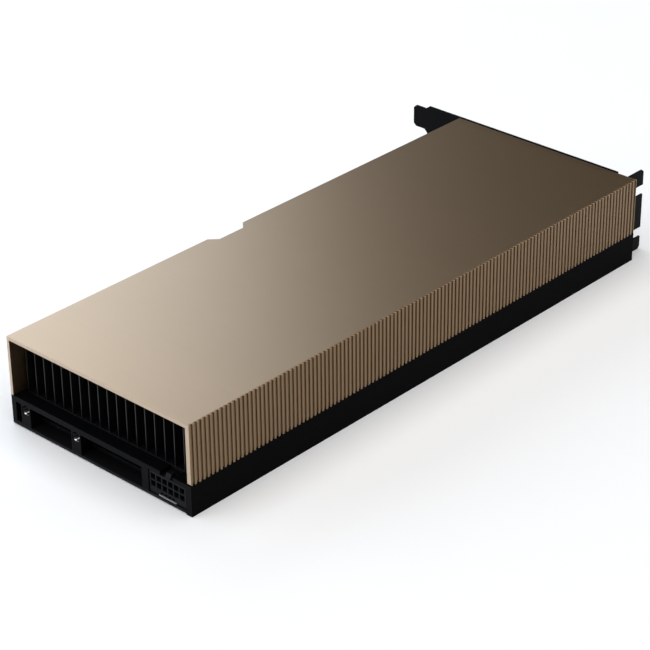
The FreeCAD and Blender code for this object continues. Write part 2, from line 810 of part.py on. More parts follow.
def make_board_parts():
    """Parts soldered on the board, and the pads that carry their heat up."""
    x, y = centered(CHIP_X + " - stage_offset", CHIP_Y, "stage_length", STAGE_SPAN)
    blocks("power_stages", (x, y, BOARD_TOP), ("stage_length", "stage_width", "stage_height"),
           "X_Axis", "2 * stage_offset", PAIR, ("Y_Axis", "stage_pitch", "stage_rows"))
    pads = blocks("thermal_pads", (x, y, BOARD_TOP + " + stage_height"),
                  ("stage_length", STAGE_SPAN, "pad_thick"), "X_Axis", "2 * stage_offset", PAIR)
    coil_span = "((stage_rows - 1) * stage_pitch + inductor_width)"
    x, y = centered(CHIP_X + " - inductor_offset", CHIP_Y, "inductor_length", coil_span)
    blocks("inductors", (x, y, BOARD_TOP),
           ("inductor_length", "inductor_width", "inductor_height"),
           "X_Axis", "2 * inductor_offset", PAIR, ("Y_Axis", "stage_pitch", "stage_rows"))
    low = "(%s + inductor_height)" % BOARD_TOP
    strip = block(pads, x, y, low, "inductor_length", coil_span, "base_bottom - " + low)
    repeat(pads, strip, "X_Axis", "2 * inductor_offset", PAIR)
    for label, size, offset, pitch, count in (
            ("chip_capacitors", ("chip_cap_length", "chip_cap_width", "chip_cap_height"),
             "chip_cap_offset", "chip_cap_pitch", "chip_cap_rows"),
            ("ceramic_capacitors", ("ceramic_length", "ceramic_width", "ceramic_height"),
             "ceramic_offset", "ceramic_pitch", "ceramic_count")):
        depth = "((%s - 1) * %s + %s)" % (count, pitch, size[1])
        x, y = centered(CHIP_X + " - " + offset, CHIP_Y, size[0], depth)
        blocks(label, (x, y, BOARD_TOP), size, "X_Axis", "2 * " + offset, PAIR,
               ("Y_Axis", pitch, count))
    blocks("input_chokes", ("choke_start", "choke_near", BOARD_TOP),
           ("choke_side", "choke_side", "choke_height"),
           "Y_Axis", "choke_pitch", "choke_count")
    blocks("control_chips", ("cover_length - control_to_bracket", "control_near", BOARD_TOP),
           ("control_side", "control_side", "control_height"), "Y_Axis", "control_pitch", PAIR)
    flash_end = CHIP_X + " - inductor_offset - inductor_length / 2 - flash_gap"
    blocks("flash_chip", (flash_end + " - flash_length", CHIP_Y + " - flash_width / 2", BOARD_TOP),
           ("flash_length", "flash_width", "flash_height"))
    clock_near = CHIP_Y + " + flash_width / 2 + clock_gap"
    blocks("clock_chip", (flash_end + " - clock_length", clock_near, BOARD_TOP),
           ("clock_length", "clock_width", "clock_height"))
    cans = new_body("can_capacitors")
    base = new_sketch(cans, "XY_Plane", out=BOARD_TOP)
    ring(base, "can_start", "can_near", "can_radius")
    can = pad(cans, base, "can_height")
    repeat(cans, can, "Y_Axis", "can_pitch", "can_count")


def make_inlet():
    """Power inlet: its housing, the twelve power pins and the four sense pins."""
    body = new_body("power_connector")
    side = "inlet_center - housing_width / 2"
    block(body, "housing_front", side, BOARD_TOP,
          "housing_depth", "housing_width", "housing_top - " + BOARD_TOP)
    block(body, "housing_front", side, "housing_bottom",
          BOARD_START + " - side_clear - housing_front", "housing_width",
          BOARD_TOP + " - housing_bottom")
    block(body, "housing_front - lip_reach", "inlet_center - lip_width / 2", "housing_bottom",
          "lip_reach", "lip_width", "lip_height")
    add_latch(body)
    first_cell = "inlet_center - (cell_columns - 1) * cell_pitch / 2"
    grid = ("Y_Axis", "cell_pitch", "cell_columns", ("Z_Axis", "cell_pitch", PAIR))
    cell = new_sketch(body, "YZ_Plane", out="housing_front")
    rectangle(cell, first_cell + " - cell_side / 2", "cell_low - cell_side / 2",
              "cell_side", "cell_side")
    repeat(body, pocket(body, cell, "cell_depth", turned_back=True), *grid)
    first_sense = "inlet_center - (sense_count - 1) * sense_pitch / 2"
    sense_row = ("Y_Axis", "sense_pitch", "sense_count")
    mouth = new_sketch(body, "YZ_Plane", out="housing_front")
    rectangle(mouth, first_sense + " - sense_width / 2", "sense_low - sense_height / 2",
              "sense_width", "sense_height")
    repeat(body, pocket(body, mouth, "sense_depth", turned_back=True), *sense_row)
    blocks("power_pins",
           ("housing_front + cell_depth - pin_length", first_cell + " - pin_side / 2",
            "cell_low - pin_side / 2"), ("pin_length", "pin_side", "pin_side"), *grid)
    blocks("sense_pins",
           ("housing_front + sense_depth - sense_reach", first_sense + " - sense_pin / 2",
            "sense_low - sense_pin / 2"), ("sense_reach", "sense_pin", "sense_pin"), *sense_row)


def add_latch(body):
    """Ramped catch on the housing's top, in the notch of the rail."""
    side = "-(inlet_center + latch_width / 2)"
    latch = new_sketch(body, "XZ_Plane", across="housing_front", out=side)
    outline(
        latch,
        ("0", "housing_top"),
        ("latch_length", "housing_top"),
        ("latch_length", "housing_top + latch_height"),
        ("latch_ramp", "housing_top + latch_height"),
    )
    pad(body, latch, "latch_width")


def make_bracket():
    """Folded steel bracket: plate, two tongues, and the flange with its screw notches."""
    body = new_body("bracket")
    tip = "flange_face + bracket_span"
    plate = new_sketch(body, "YZ_Plane", out="cover_length")
    outline(
        plate,
        ("flange_face", "0"),
        ("plate_end - corner_cut", "0"),
        ("plate_end", "corner_cut"),
        ("plate_end", "bracket_top - corner_cut"),
        ("plate_end - corner_cut", "bracket_top"),
        ("flange_face", "bracket_top"),
    )
    pad(body, plate, "bracket_thick")
    tongue = new_sketch(body, "YZ_Plane", out="cover_length")
    top = "tongue_low + tongue_width"
    outline(
        tongue,
        ("plate_end - past", "tongue_low - tongue_root"),
        ("plate_end", "tongue_low - tongue_root"),
        ("plate_end + tongue_root", "tongue_low"),
        (tip + " - tongue_chamfer", "tongue_low"),
        (tip, "tongue_low + tongue_chamfer"),
        (tip, top + " - tongue_chamfer"),
        (tip + " - tongue_chamfer", top),
        ("plate_end + shoulder_root", top),
        ("plate_end", top + " + shoulder_root"),
        ("plate_end - past", top + " + shoulder_root"),
    )
    tongues = pad(body, tongue, "bracket_thick")
    repeat(body, tongues, "Z_Axis", "slot_pitch", "slot_count")
    flange_top = "bracket_top - flange_drop"
    block(body, "cover_length", "flange_face", "0", "flange_reach", "bracket_thick", flange_top)
    cut_block(body, "cover_length - past", "flange_face - past", flange_top,
              "2 * past + bracket_thick", "relief_width + past", "flange_drop + past")
    cut_flange(body, flange_top)
    cut_vents(body)
    bracket_screws(body, "screw_clear", cutting=True)


def cut_vents(body):
    """Cut the row of upright exhaust slots with chamfered corners."""
    vents = new_sketch(body, "YZ_Plane", out="cover_length")
    near = FIRST_VENT + " - vent_width / 2"
    far = FIRST_VENT + " + vent_width / 2"
    high = "vent_low + vent_height"
    outline(
        vents,
        (near + " + vent_corner", "vent_low"),
        (far + " - vent_corner", "vent_low"),
        (far, "vent_low + vent_corner"),
        (far, high + " - vent_corner"),
        (far + " - vent_corner", high),
        (near + " + vent_corner", high),
        (near, high + " - vent_corner"),
        (near, "vent_low + vent_corner"),
    )
    cut = pocket(body, vents, "bracket_thick", turned_back=True)
    repeat(body, cut, "Y_Axis", "vent_pitch", VENT_GAPS + " + 1")


def cut_flange(body, flange_top):
    """Cut the two open screw notches and the chamfered corners of the flange."""
    front = "-(flange_face - past)"
    through = "bracket_thick + 2 * past"
    reach = "cover_length + flange_reach"
    floor = "cover_length + screw_notch_floor"
    mouth = new_sketch(body, "XZ_Plane", out=front)
    rectangle(mouth, floor + " + screw_notch / 2", "screw_notch_low - screw_notch / 2",
              "flange_reach", "screw_notch")
    repeat(body, pocket(body, mouth, through), "Z_Axis", "slot_pitch", "slot_count")
    round_end = new_sketch(body, "XZ_Plane", out=front)
    circle(round_end, floor + " + screw_notch / 2", "screw_notch_low", "screw_notch / 2")
    repeat(body, pocket(body, round_end, through), "Z_Axis", "slot_pitch", "slot_count")
    for level, sense in (("0", "1"), (flange_top, "-1")):
        corner = new_sketch(body, "XZ_Plane", out=front)
        outline(corner, (reach, level), (reach + " - flange_chamfer", level),
                (reach, "%s + %s * flange_chamfer" % (level, sense)))
        pocket(body, corner, through)


def make_fasteners():
    """Screws of the cover, underside, package and bracket, and the rear inserts."""
    far_side_screws(new_body("cover_screws"), "far_wall + side_clear + lug_thick", "0")
    standing_screws(new_body("backplate_screws"), SUPPORTS, "0")
    standing_screws(new_body("heatsink_screws"), PACKAGE, "0")
    bracket_screws(new_body("bracket_screws"), "0")
    sleeves = new_body("rear_inserts")
    wall = new_sketch(sleeves, "XY_Plane", up=FIRST_INSERT, out="insert_height")
    rectangle(wall, "insert_recess", "insert_bore", "insert_length",
              "insert_outer - insert_bore")
    repeat(sleeves, turned(sleeves, wall, "H_Axis"), "Y_Axis", INSERT_PITCH, PAIR)


def check_and_write():
    """Stop on any failed piece or idle cut, then write each piece to its file."""
    for thing in document.Objects:
        if "Invalid" in thing.State or "Error" in thing.State:
            raise RuntimeError("%s failed: %s" % (thing.Name, thing.State))
        if thing.TypeId == "PartDesign::Pocket":
            if thing.Shape.Volume >= thing.BaseFeature.Shape.Volume:
                raise RuntimeError("%s cuts nothing" % thing.Name)
    os.makedirs("parts", exist_ok=True)
    for piece in pieces:
        if piece.Shape.isNull() or not piece.Shape.isValid():
            raise RuntimeError("%s has no valid shape" % piece.Label)
        piece.Shape.exportStep("parts/%s.step" % piece.Label)
        print(piece.Label, len(piece.Shape.Solids), round(piece.Shape.Volume, 1))


fill_sheet()
make_cover()
make_frame()
make_backplate()
make_film()
make_board()
make_contacts()
make_package()
make_heatsink_base()
make_fins()
make_board_parts()
make_inlet()
make_bracket()
make_fasteners()
document.recompute()
check_and_write()
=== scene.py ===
import math

import bmesh
import bpy
from bpy.props import FloatProperty, FloatVectorProperty, IntProperty, PointerProperty
from mathutils import Matrix, Vector


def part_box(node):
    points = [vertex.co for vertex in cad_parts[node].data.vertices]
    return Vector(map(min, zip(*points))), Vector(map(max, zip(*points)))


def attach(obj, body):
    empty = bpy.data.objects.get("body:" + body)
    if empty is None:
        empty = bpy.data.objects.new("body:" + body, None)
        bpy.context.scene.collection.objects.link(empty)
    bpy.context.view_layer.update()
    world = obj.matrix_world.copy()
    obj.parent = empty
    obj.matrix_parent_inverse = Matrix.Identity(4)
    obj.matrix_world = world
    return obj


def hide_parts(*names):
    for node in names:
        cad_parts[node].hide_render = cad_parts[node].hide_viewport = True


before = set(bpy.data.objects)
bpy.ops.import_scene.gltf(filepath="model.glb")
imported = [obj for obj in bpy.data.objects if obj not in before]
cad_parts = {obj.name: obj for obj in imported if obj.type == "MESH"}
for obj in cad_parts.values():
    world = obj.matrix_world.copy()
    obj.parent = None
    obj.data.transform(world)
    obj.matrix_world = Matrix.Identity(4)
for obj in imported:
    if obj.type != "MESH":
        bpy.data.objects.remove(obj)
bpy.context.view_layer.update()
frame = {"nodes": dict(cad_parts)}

bl_info = {
    "name": "Passive Accelerator Card",
    "version": (1, 0, 0),
    "blender": (4, 5, 0),
    "location": "3D View > Sidebar > Card",
    "description": "Dresses a passive accelerator card and sets up its studio",
    "category": "Object",
}

MM = 0.001
BODY = "root"
NODES = frame["nodes"]

# Surfaces: grain sizes, and how far each masked zone reaches into its node's box.
COVER_GRAIN = 0.16 * MM
BASE_GRAIN = 0.3 * MM
FRAME_GRAIN = 0.3 * MM
RIB_BAND = 1.3 * MM
RIB_TOP = 0.2 * MM
RIM_SKIN = 0.13 * MM
BAND_SKIN = 0.05 * MM
# Reach and height of the inlet's lip that gets the painted highlight.
LIP_REACH = 0.39 * MM
LIP_HEIGHT = 0.52 * MM
# Share of the inserts' height that gets the painted highlight.
HIGHLIGHT_SHARE = 0.12

# Broken edges; the last two widen or narrow the shell's edge for other nodes.
WELD_DISTANCE = 0.001 * MM
EDGE_STEPS = 2
EDGE_ANGLE = math.radians(35.0)
INLET_EDGE = 0.7
ROUND_EDGE = 2.0

# Screws: proportions of the six-lobed drive, and the small chamfers.
HEAD_PER_SHANK = 1.9
LOBES = 6
LOBE_DEPTH = 0.14
RECESS_MIDDLE = 0.35
RECESS_FLOOR = 0.92
RECESS_MOUTH = 1.06
MOUTH_CHAMFER = 0.08 * MM
HEAD_CHAMFER = 0.1 * MM
TIP_CHAMFER = 0.2 * MM
SCREW_DIRECTIONS = {
    "cover_screws": (0.0, 1.0, 0.0),
    "backplate_screws": (0.0, 0.0, -1.0),
    "heatsink_screws": (0.0, 0.0, -1.0),
    "bracket_screws": (1.0, 0.0, 0.0),
}

# Rear inserts.
ROWS_PER_PITCH = 6
INSERT_CHAMFER = 0.1 * MM

# Studio: metres and degrees, but the camera's place and sensor are in millimetres.
WHITE = (1.0, 1.0, 1.0)
BLACK = (0.0, 0.0, 0.0)
FLOOR_FADE = (0.7, 2.4)
WALL_FADE = (4.0, 12.0)
CARD_MIDDLE = (0.0, 0.0, 0.03)
CAMERA_ANGLES = (-47.147, 29.129, -0.644)
CAMERA_PLACE = (-613.565, -568.46, 464.2)
SENSOR_WIDTH = 36.0
CLIP_RANGE = (0.05, 60.0)

# Each lamp's name, place, size, brightness setting, target, and whether it is cool.
LAMPS = (
    ("Overhead softbox", (-1.6, -1.4, 2.6), (5.6, 5.6), "overhead", (-1.6, -1.4, 0.0), False),
    ("Rear softbox", (0.53, 1.33, 0.72), (1.16, 1.0), "rear_box", CARD_MIDDLE, True),
    ("Rear core", (0.52, 1.31, 0.71), (0.7, 1.0), "rear_core", CARD_MIDDLE, True),
    ("Side softbox", (-0.6, 0.7, 0.24), (1.1, 0.46), "side_box", CARD_MIDDLE, True),
    ("Front softbox", (0.95, -0.75, 0.42), (1.4, 0.8), "front_box", CARD_MIDDLE, False),
)


class Signal:
    """A socket that takes part in Python arithmetic by adding Math nodes."""

    def __init__(self, finish, socket):
        self.finish = finish
        self.socket = socket

    def maths(self, operation, *values):
        settings = {"operation": operation}
        return self.finish.node("ShaderNodeMath", settings, dict(enumerate(values)))

    def __add__(self, other):
        return self.maths("ADD", self, other)

    def __radd__(self, other):
        return self.maths("ADD", other, self)

    def __sub__(self, other):
        return self.maths("SUBTRACT", self, other)

    def __rsub__(self, other):
        return self.maths("SUBTRACT", other, self)

    def __mul__(self, other):
        return self.maths("MULTIPLY", self, other)

    def __rmul__(self, other):
        return self.maths("MULTIPLY", other, self)

    def __lt__(self, other):
        return self.maths("LESS_THAN", self, other)

    def __gt__(self, other):
        """Also answers for a plain number on the left of a less-than sign."""
        return self.maths("GREATER_THAN", self, other)

    def sine(self):
        return self.maths("SINE", self)


def fill_ramp(ramp, stops):
    while len(ramp.elements) < len(stops):
        ramp.elements.new(1.0)
    for element, (position, colour) in zip(ramp.elements, stops):
        element.position = position
        element.color = (*colour, 1.0)


def lighter(colour, share):
    """Lighten a colour by a share of itself, or darken it by a negative one."""
    return tuple(min(1.0, part * (1.0 + share)) for part in colour)


class Finish:
    """A material or the room, with the nodes that make its look."""

    def __init__(self, holder, shader="Principled BSDF"):
        holder.use_nodes = True
        self.holder = holder
        self.tree = holder.node_tree
        self.shader = self.tree.nodes[shader]

    def node(self, kind, settings=None, sockets=None, output=0):
        """Add a node, apply its settings, then fill or link its sockets."""
        made = self.tree.nodes.new(kind)
        for name, value in (settings or {}).items():
            if name == "stops":
                fill_ramp(made.color_ramp, value)
            else:
                setattr(made, name, value)
        for name, value in (sockets or {}).items():
            self.feed(made.inputs[name], value)
        return Signal(self, made.outputs[output])

    def feed(self, socket, value):
        if isinstance(value, Signal):
            self.tree.links.new(value.socket, socket)
        else:
            socket.default_value = value

    def paint(self, **sockets):
        """Feed the shader's own sockets, named with underscores for spaces."""
        for name, value in sockets.items():
            self.feed(self.shader.inputs[name.replace("_", " ")], value)
        return self.holder

    def place(self):
        """Give the position on the object, in metres."""
        return self.node("ShaderNodeTexCoord", output="Object")

    def axis(self, name):
        """Give the position along the axis X, Y or Z, in metres."""
        return self.node("ShaderNodeSeparateXYZ", sockets={0: self.place()}, output=name)

    def stretched(self, scale):
        """Give the position scaled along each axis, for brushed or streaked grain."""
        sockets = {"Vector": self.place(), "Scale": scale}
        return self.node("ShaderNodeMapping", sockets=sockets)

    def noise(self, scale=1.0, detail=2.0, stretch=None):
        sockets = {"Scale": scale, "Detail": detail}
        sockets["Vector"] = self.stretched(stretch) if stretch else self.place()
        return self.node("ShaderNodeTexNoise", sockets=sockets)

    def cells(self, scale):
        sockets = {"Scale": scale, "Vector": self.place()}
        return self.node("ShaderNodeTexVoronoi", sockets=sockets)

    def spread(self, signal, low, high, start=0.0, end=1.0):
        """Map a signal from start..end onto low..high."""
        sockets = {0: signal, 1: start, 2: end, 3: low, 4: high}
        return self.node("ShaderNodeMapRange", sockets=sockets)

    def around(self, signal, middle, swing):
        """Let a value swing about its middle as a signal goes from 0 to 1."""
        return self.spread(signal, middle - swing, middle + swing)

    def blend(self, share, first, second):
        """Mix two colours, given as triples or signals."""
        ends = [c if isinstance(c, Signal) else (*c, 1.0) for c in (first, second)]
        settings = {"data_type": "RGBA"}
        sockets = {0: share, 6: ends[0], 7: ends[1]}
        return self.node("ShaderNodeMix", settings, sockets, output=2)

    def mottled(self, colour, amount, scale):
        """Vary a colour a little from place to place."""
        drift = self.noise(scale, detail=3.0)
        return self.blend(drift, lighter(colour, -amount), lighter(colour, amount))

    def bump(self, height, strength, distance):
        sockets = {"Height": height, "Strength": strength, "Distance": distance}
        return self.node("ShaderNodeBump", sockets=sockets)


def new_finish(name):
    return Finish(bpy.data.materials.new(name))


def anodised(name, colour, roughness, grain):
    """Anodised aluminium: fine even grain, slow drift in tone."""
    finish = new_finish(name)
    speck = finish.noise(1.0 / grain)
    tone = finish.mottled(colour, amount=0.03, scale=40.0)
    bright_share = finish.spread(speck, low=0.0, high=0.16)
    return finish.paint(
        Base_Color=finish.blend(bright_share, tone, lighter(colour, 0.35)),
        Metallic=1.0,
        Roughness=finish.around(speck, roughness, swing=0.03),
        Normal=finish.bump(speck, strength=0.08, distance=0.02 * MM),
    )


def champagne(name, colours):
    """Blasted, dyed and sealed aluminium; its ribbed band is darkened as painted shade, and its
    open end's face is paler as a painted highlight.
    """
    finish = new_finish(name)
    x, y, z = (finish.axis(axis) for axis in "XYZ")
    low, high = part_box("top_cover")
    rim = x < low[0] + RIM_SKIN
    ribbed = (y < low[1] + RIB_BAND) * (z < high[2] - RIB_TOP) * (1.0 - rim)
    speck = finish.noise(1.0 / COVER_GRAIN)
    streak = finish.noise(stretch=(900.0, 60.0, 900.0))
    dye = tuple(colours.cover)
    tone = finish.mottled(dye, amount=0.03, scale=40.0)
    bright_share = finish.spread(speck + 0.6 * streak, low=0.0, high=0.2, start=0.3, end=1.3)
    grained = finish.blend(bright_share, tone, lighter(dye, 0.35))
    # Painted shade: the ribbed band's colour is darkened to stand in for the shade on that side of
    # the cover and in its grooves.
    rib_painted_shade = finish.mottled(lighter(dye, -colours.rib_shade), amount=0.06, scale=60.0)
    # Painted highlight: the open end's face gets a paler colour, standing in for the light it
    # catches.
    rim_highlight = finish.mottled(tuple(colours.cover_rim_highlight), amount=0.03, scale=90.0)
    return finish.paint(
        Base_Color=finish.blend(rim, finish.blend(ribbed, grained, rib_painted_shade), rim_highlight),
        Metallic=1.0,
        Roughness=finish.around(speck, colours.cover_roughness, swing=0.03),
        Coat_Weight=colours.cover_coat * (1.0 - 0.6 * ribbed),
        Coat_Roughness=0.3,
        Normal=finish.bump(speck, strength=0.08, distance=0.02 * MM),
    )


def frame_black(name, colours):
    """Frame with a fine eroded texture; its long near side is a smoother black band."""
    finish = new_finish(name)
    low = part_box("base_frame")[0]
    band = finish.axis("Y") < low[1] + BAND_SKIN
    pits = finish.noise(1.0 / FRAME_GRAIN, detail=3.0)
    return finish.paint(
        Base_Color=finish.mottled(tuple(colours.frame), amount=0.12, scale=60.0),
        Roughness=finish.spread(pits, low=0.36, high=0.48),
        Specular_IOR_Level=0.012,
        Coat_Weight=0.12 * (1.0 - band),
        Coat_Roughness=0.4,
        Normal=finish.bump(pits * (1.0 - 0.7 * band), strength=0.2, distance=0.02 * MM),
    )


def inlet_moulding(name, colours):
    """Glass-filled nylon, with a pale metal lip under its signal contacts as a painted highlight.
    """
    finish = new_finish(name)
    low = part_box("power_connector")[0]
    front = finish.axis("X") < low[0] + LIP_REACH
    foot = finish.axis("Z") < low[2] + LIP_HEIGHT
    # Painted highlight: the lip's front foot is pale metal, standing in for the highlight on its
    # edge.
    lip = front * foot
    fibres = finish.noise(detail=3.0, stretch=(1800.0, 5200.0, 5200.0))
    nylon = finish.mottled(lighter(tuple(colours.frame), 1.5), amount=0.2, scale=90.0)
    return finish.paint(
        Base_Color=finish.blend(lip, nylon, (0.3, 0.3, 0.31)),
        Metallic=lip,
        Roughness=finish.spread(fibres, low=0.38, high=0.52),
        Specular_IOR_Level=0.1,
        Normal=finish.bump(fibres, strength=0.2, distance=0.015 * MM),
    )


def powder_coated(name, colour, roughness, gloss):
    """Sheet metal under a matt coat with its shallow orange peel."""
    finish = new_finish(name)
    peel = finish.noise(900.0, detail=1.0)
    specks = finish.noise(5200.0)
    return finish.paint(
        Base_Color=finish.mottled(colour, amount=0.1, scale=35.0),
        Roughness=finish.around(specks, roughness, swing=0.06),
        Specular_IOR_Level=gloss,
        Normal=finish.bump(peel + 0.3 * specks, strength=0.2, distance=0.03 * MM),
    )


def brushed(name, colour, roughness, stretch):
    """Drawn or brushed metal, its scratches long on the axis with the small scale."""
    finish = new_finish(name)
    scratches = finish.noise(detail=3.0, stretch=stretch)
    return finish.paint(
        Base_Color=finish.blend(scratches, lighter(colour, -0.12), lighter(colour, 0.12)),
        Metallic=1.0,
        Roughness=finish.around(scratches, roughness, swing=0.07),
        Normal=finish.bump(scratches, strength=0.12, distance=0.01 * MM),
    )


def highlighted_insert(name):
    """Blackened steel with a bright lower lip: the lip is a painted highlight, and the dark colour
    over the rest is partly painted shade of the bore.
    """
    finish = new_finish(name)
    low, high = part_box("rear_inserts")
    # Painted highlight: the lowest share of each insert is bright steel; the dark rest is partly
    # painted shade of the bore.
    lower_lip_highlight = finish.axis("Z") < low[2] + HIGHLIGHT_SHARE * (high[2] - low[2])
    rings = finish.noise(detail=3.0, stretch=(3000.0, 300.0, 300.0))
    return finish.paint(
        Base_Color=finish.blend(lower_lip_highlight, (0.02, 0.02, 0.021), (0.62, 0.62, 0.6)),
        Metallic=1.0,
        Roughness=finish.spread(rings, low=0.12, high=0.26),
        Normal=finish.bump(rings, strength=0.1, distance=0.01 * MM),
    )


def soldered_board(name, colour):
    """Solder mask over fine copper traces, with small tinned via rings."""
    finish = new_finish(name)
    x, y = (finish.axis(axis) for axis in "XY")
    lanes = ((x + y) * 4200.0).sine() * ((x - y) * 3100.0).sine()
    traces = finish.spread(lanes, low=0.0, high=1.0, start=0.1, end=0.35)
    vias = finish.cells(420.0) < 0.16
    mask = finish.blend(0.3 * traces, colour, lighter(colour, 1.6))
    return finish.paint(
        Base_Color=finish.blend(vias, mask, (0.09, 0.075, 0.05)),
        Metallic=vias,
        Roughness=finish.spread(finish.noise(700.0), low=0.28, high=0.42),
        Specular_IOR_Level=0.12,
        Normal=finish.bump(traces + vias, strength=0.3, distance=0.03 * MM),
    )


def moulded_chip(name, colour):
    """Epoxy, ceramic or pressed powder: matt, a little pitted."""
    finish = new_finish(name)
    pits = finish.noise(6500.0, detail=4.0)
    return finish.paint(
        Base_Color=finish.blend(pits, lighter(colour, -0.3), lighter(colour, 0.4)),
        Roughness=finish.spread(pits, low=0.5, high=0.75),
        Normal=finish.bump(pits, strength=0.3, distance=0.02 * MM),
    )


def polished_silicon(name, colour):
    """Bare silicon: dark mirror with a faint blue drift."""
    finish = new_finish(name)
    drift = finish.noise(120.0, detail=1.0)
    return finish.paint(
        Base_Color=finish.blend(drift, colour, (0.16, 0.2, 0.32)),
        Metallic=0.9,
        Roughness=finish.spread(finish.noise(2500.0), low=0.05, high=0.14),
    )


def soft_pad(name, colour):
    """Filled silicone: matt, with pale filler grains."""
    finish = new_finish(name)
    grains = finish.cells(2600.0) < 0.25
    return finish.paint(
        Base_Color=finish.blend(0.5 * grains, colour, lighter(colour, 0.5)),
        Roughness=finish.spread(finish.noise(900.0), low=0.7, high=0.9),
        Normal=finish.bump(grains, strength=0.2, distance=0.02 * MM),
    )


def amber_film(name, colour):
    """Amber insulating sheet with a slight ripple."""
    finish = new_finish(name)
    ripple = finish.noise(90.0)
    return finish.paint(
        Base_Color=finish.mottled(colour, amount=0.15, scale=25.0),
        Roughness=finish.spread(ripple, low=0.12, high=0.25),
        Normal=finish.bump(ripple, strength=0.15, distance=0.2 * MM),
    )


def floor_paper(name, studio):
    """Pale paper that stays pale for the camera far away from the lamps."""
    finish = new_finish(name)
    settings = {"operation": "LENGTH"}
    away = finish.node("ShaderNodeVectorMath", settings, {0: finish.place()}, output="Value")
    seen = finish.node("ShaderNodeLightPath", output="Is Camera Ray")
    start, end = FLOOR_FADE
    pale = seen * finish.spread(away, low=0.0, high=1.0, start=start, end=end)
    return finish.paint(
        Base_Color=finish.mottled(tuple(studio.floor), amount=0.01, scale=8.0),
        Roughness=0.9,
        Specular_IOR_Level=0.1,
        Emission_Color=finish.blend(pale, BLACK, tuple(studio.backdrop)),
        Emission_Strength=1.0,
    )


def studio_room(name, studio):
    """Dim walls under a dark ceiling, which the camera itself sees as a pale backdrop."""
    room = Finish(bpy.data.worlds.new(name), "Background")
    way = room.node("ShaderNodeTexCoord", output="Generated")
    height = room.node("ShaderNodeSeparateXYZ", sockets={0: way}, output="Z")
    low, high = (math.sin(math.radians(angle)) for angle in WALL_FADE)
    stops = ((low, studio.horizon), (high, studio.ceiling))
    walls = room.node("ShaderNodeValToRGB", {"stops": stops}, {0: height})
    seen = room.node("ShaderNodeLightPath", output="Is Camera Ray")
    return room.paint(Color=room.blend(seen, walls, tuple(studio.backdrop)))


def colour_property(name, description, default):
    return FloatVectorProperty(
        name=name, description=description, default=default,
        size=3, min=0.0, max=1.0, subtype="COLOR",
    )


def share_property(name, description, default):
    return FloatProperty(
        name=name, description=description, default=default,
        min=0.0, max=1.0, subtype="FACTOR",
    )


def length_property(name, description, default):
    return FloatProperty(
        name=name, description=description, default=default,
        min=0.0, unit="LENGTH", precision=5,
    )


def brightness_property(name, description, default):
    return FloatProperty(name=name, description=description, default=default, min=0.0)


class CardFinishes(bpy.types.PropertyGroup):
    """Colours and gloss of the surfaces that show."""

    cover: colour_property("Cover", "Champagne dye of the cover", (0.385, 0.25, 0.132))
    # Painted highlight: the paler colour of the open end's face.
    cover_rim_highlight: colour_property("Cover rim", "Cut edge at the open end", (0.5, 0.38, 0.27))
    cover_roughness: share_property("Cover roughness", "Softness of its reflections", 0.38)
    cover_coat: share_property("Cover coat", "Clear sealed layer on the dye", 1.0)
    # Painted shade: how far the ribbed band's colour is darkened to stand in for its shade.
    rib_shade: share_property("Rib shade", "How much deeper the dye is on the ribs", 0.48)
    frame: colour_property("Frame", "Black moulding under the cover", (0.0018, 0.002, 0.0024))
    plate: colour_property("Plate", "Coat of the underside", (0.005, 0.005, 0.0055))
    bracket: colour_property("Bracket", "Coat of the slot bracket", (0.003, 0.003, 0.0034))
    fins: colour_property("Fins", "Black coat of the fin stack", (0.045, 0.045, 0.048))
    board: colour_property("Board", "Solder mask", (0.003, 0.004, 0.0035))
    gilding: colour_property("Gilding", "Contact strips", (0.83, 0.60, 0.27))


class CardDetails(bpy.types.PropertyGroup):
    """Sizes of the detail that is added to the fasteners and the edges."""

    edge: length_property("Edge rounding", "Width of the broken edges", 0.12 * MM)
    drive_radius: length_property("Drive radius", "Outer radius of the six-lobed drive", 0.95 * MM)
    drive_depth: length_property("Drive depth", "Depth of the six-lobed drive", 0.7 * MM)
    thread_pitch: length_property("Thread pitch", "Pitch of the inserts' thread", 0.6 * MM)
    thread_depth: length_property("Thread depth", "Depth of the inserts' thread", 0.25 * MM)
    mouth_width: length_property("Mouth width", "Wall at the inserts' funnel mouth", 0.3 * MM)
    mouth_depth: length_property("Mouth depth", "Depth of the inserts' funnel mouth", 0.9 * MM)
    turn_steps: IntProperty(
        name="Steps per turn", description="Facets round a screw or an insert",
        default=48, min=24, max=96,
    )


class CardStudio(bpy.types.PropertyGroup):
    """The floor, the lamps, the room and the camera's lens."""

    floor: colour_property("Floor", "Colour of the floor", (0.97, 0.97, 0.97))
    floor_side: length_property("Floor side", "Side of the square floor", 16.0)
    backdrop: colour_property("Backdrop", "Backdrop that the camera sees", (0.93, 0.93, 0.93))
    horizon: colour_property("Horizon", "Walls near the horizon", (0.45, 0.45, 0.45))
    ceiling: colour_property("Ceiling", "Dark upper room", (0.012, 0.009, 0.007))
    cool: colour_property("Cool light", "Tint of the rear and side softboxes", (0.77, 0.88, 1.0))
    overhead: brightness_property("Overhead", "Brightness of the overhead softbox", 1.7)
    rear_box: brightness_property("Rear softbox", "Brightness of the rear softbox", 1.95)
    rear_core: brightness_property("Rear core", "Added at the rear softbox's middle", 1.0)
    side_box: brightness_property("Side softbox", "Brightness of the side softbox", 3.0)
    front_box: brightness_property("Front softbox", "Brightness of the low front softbox", 1.1)
    lens: FloatProperty(
        name="Lens", description="Focal length", default=128.254,
        min=10.0, subtype="DISTANCE_CAMERA",
    )


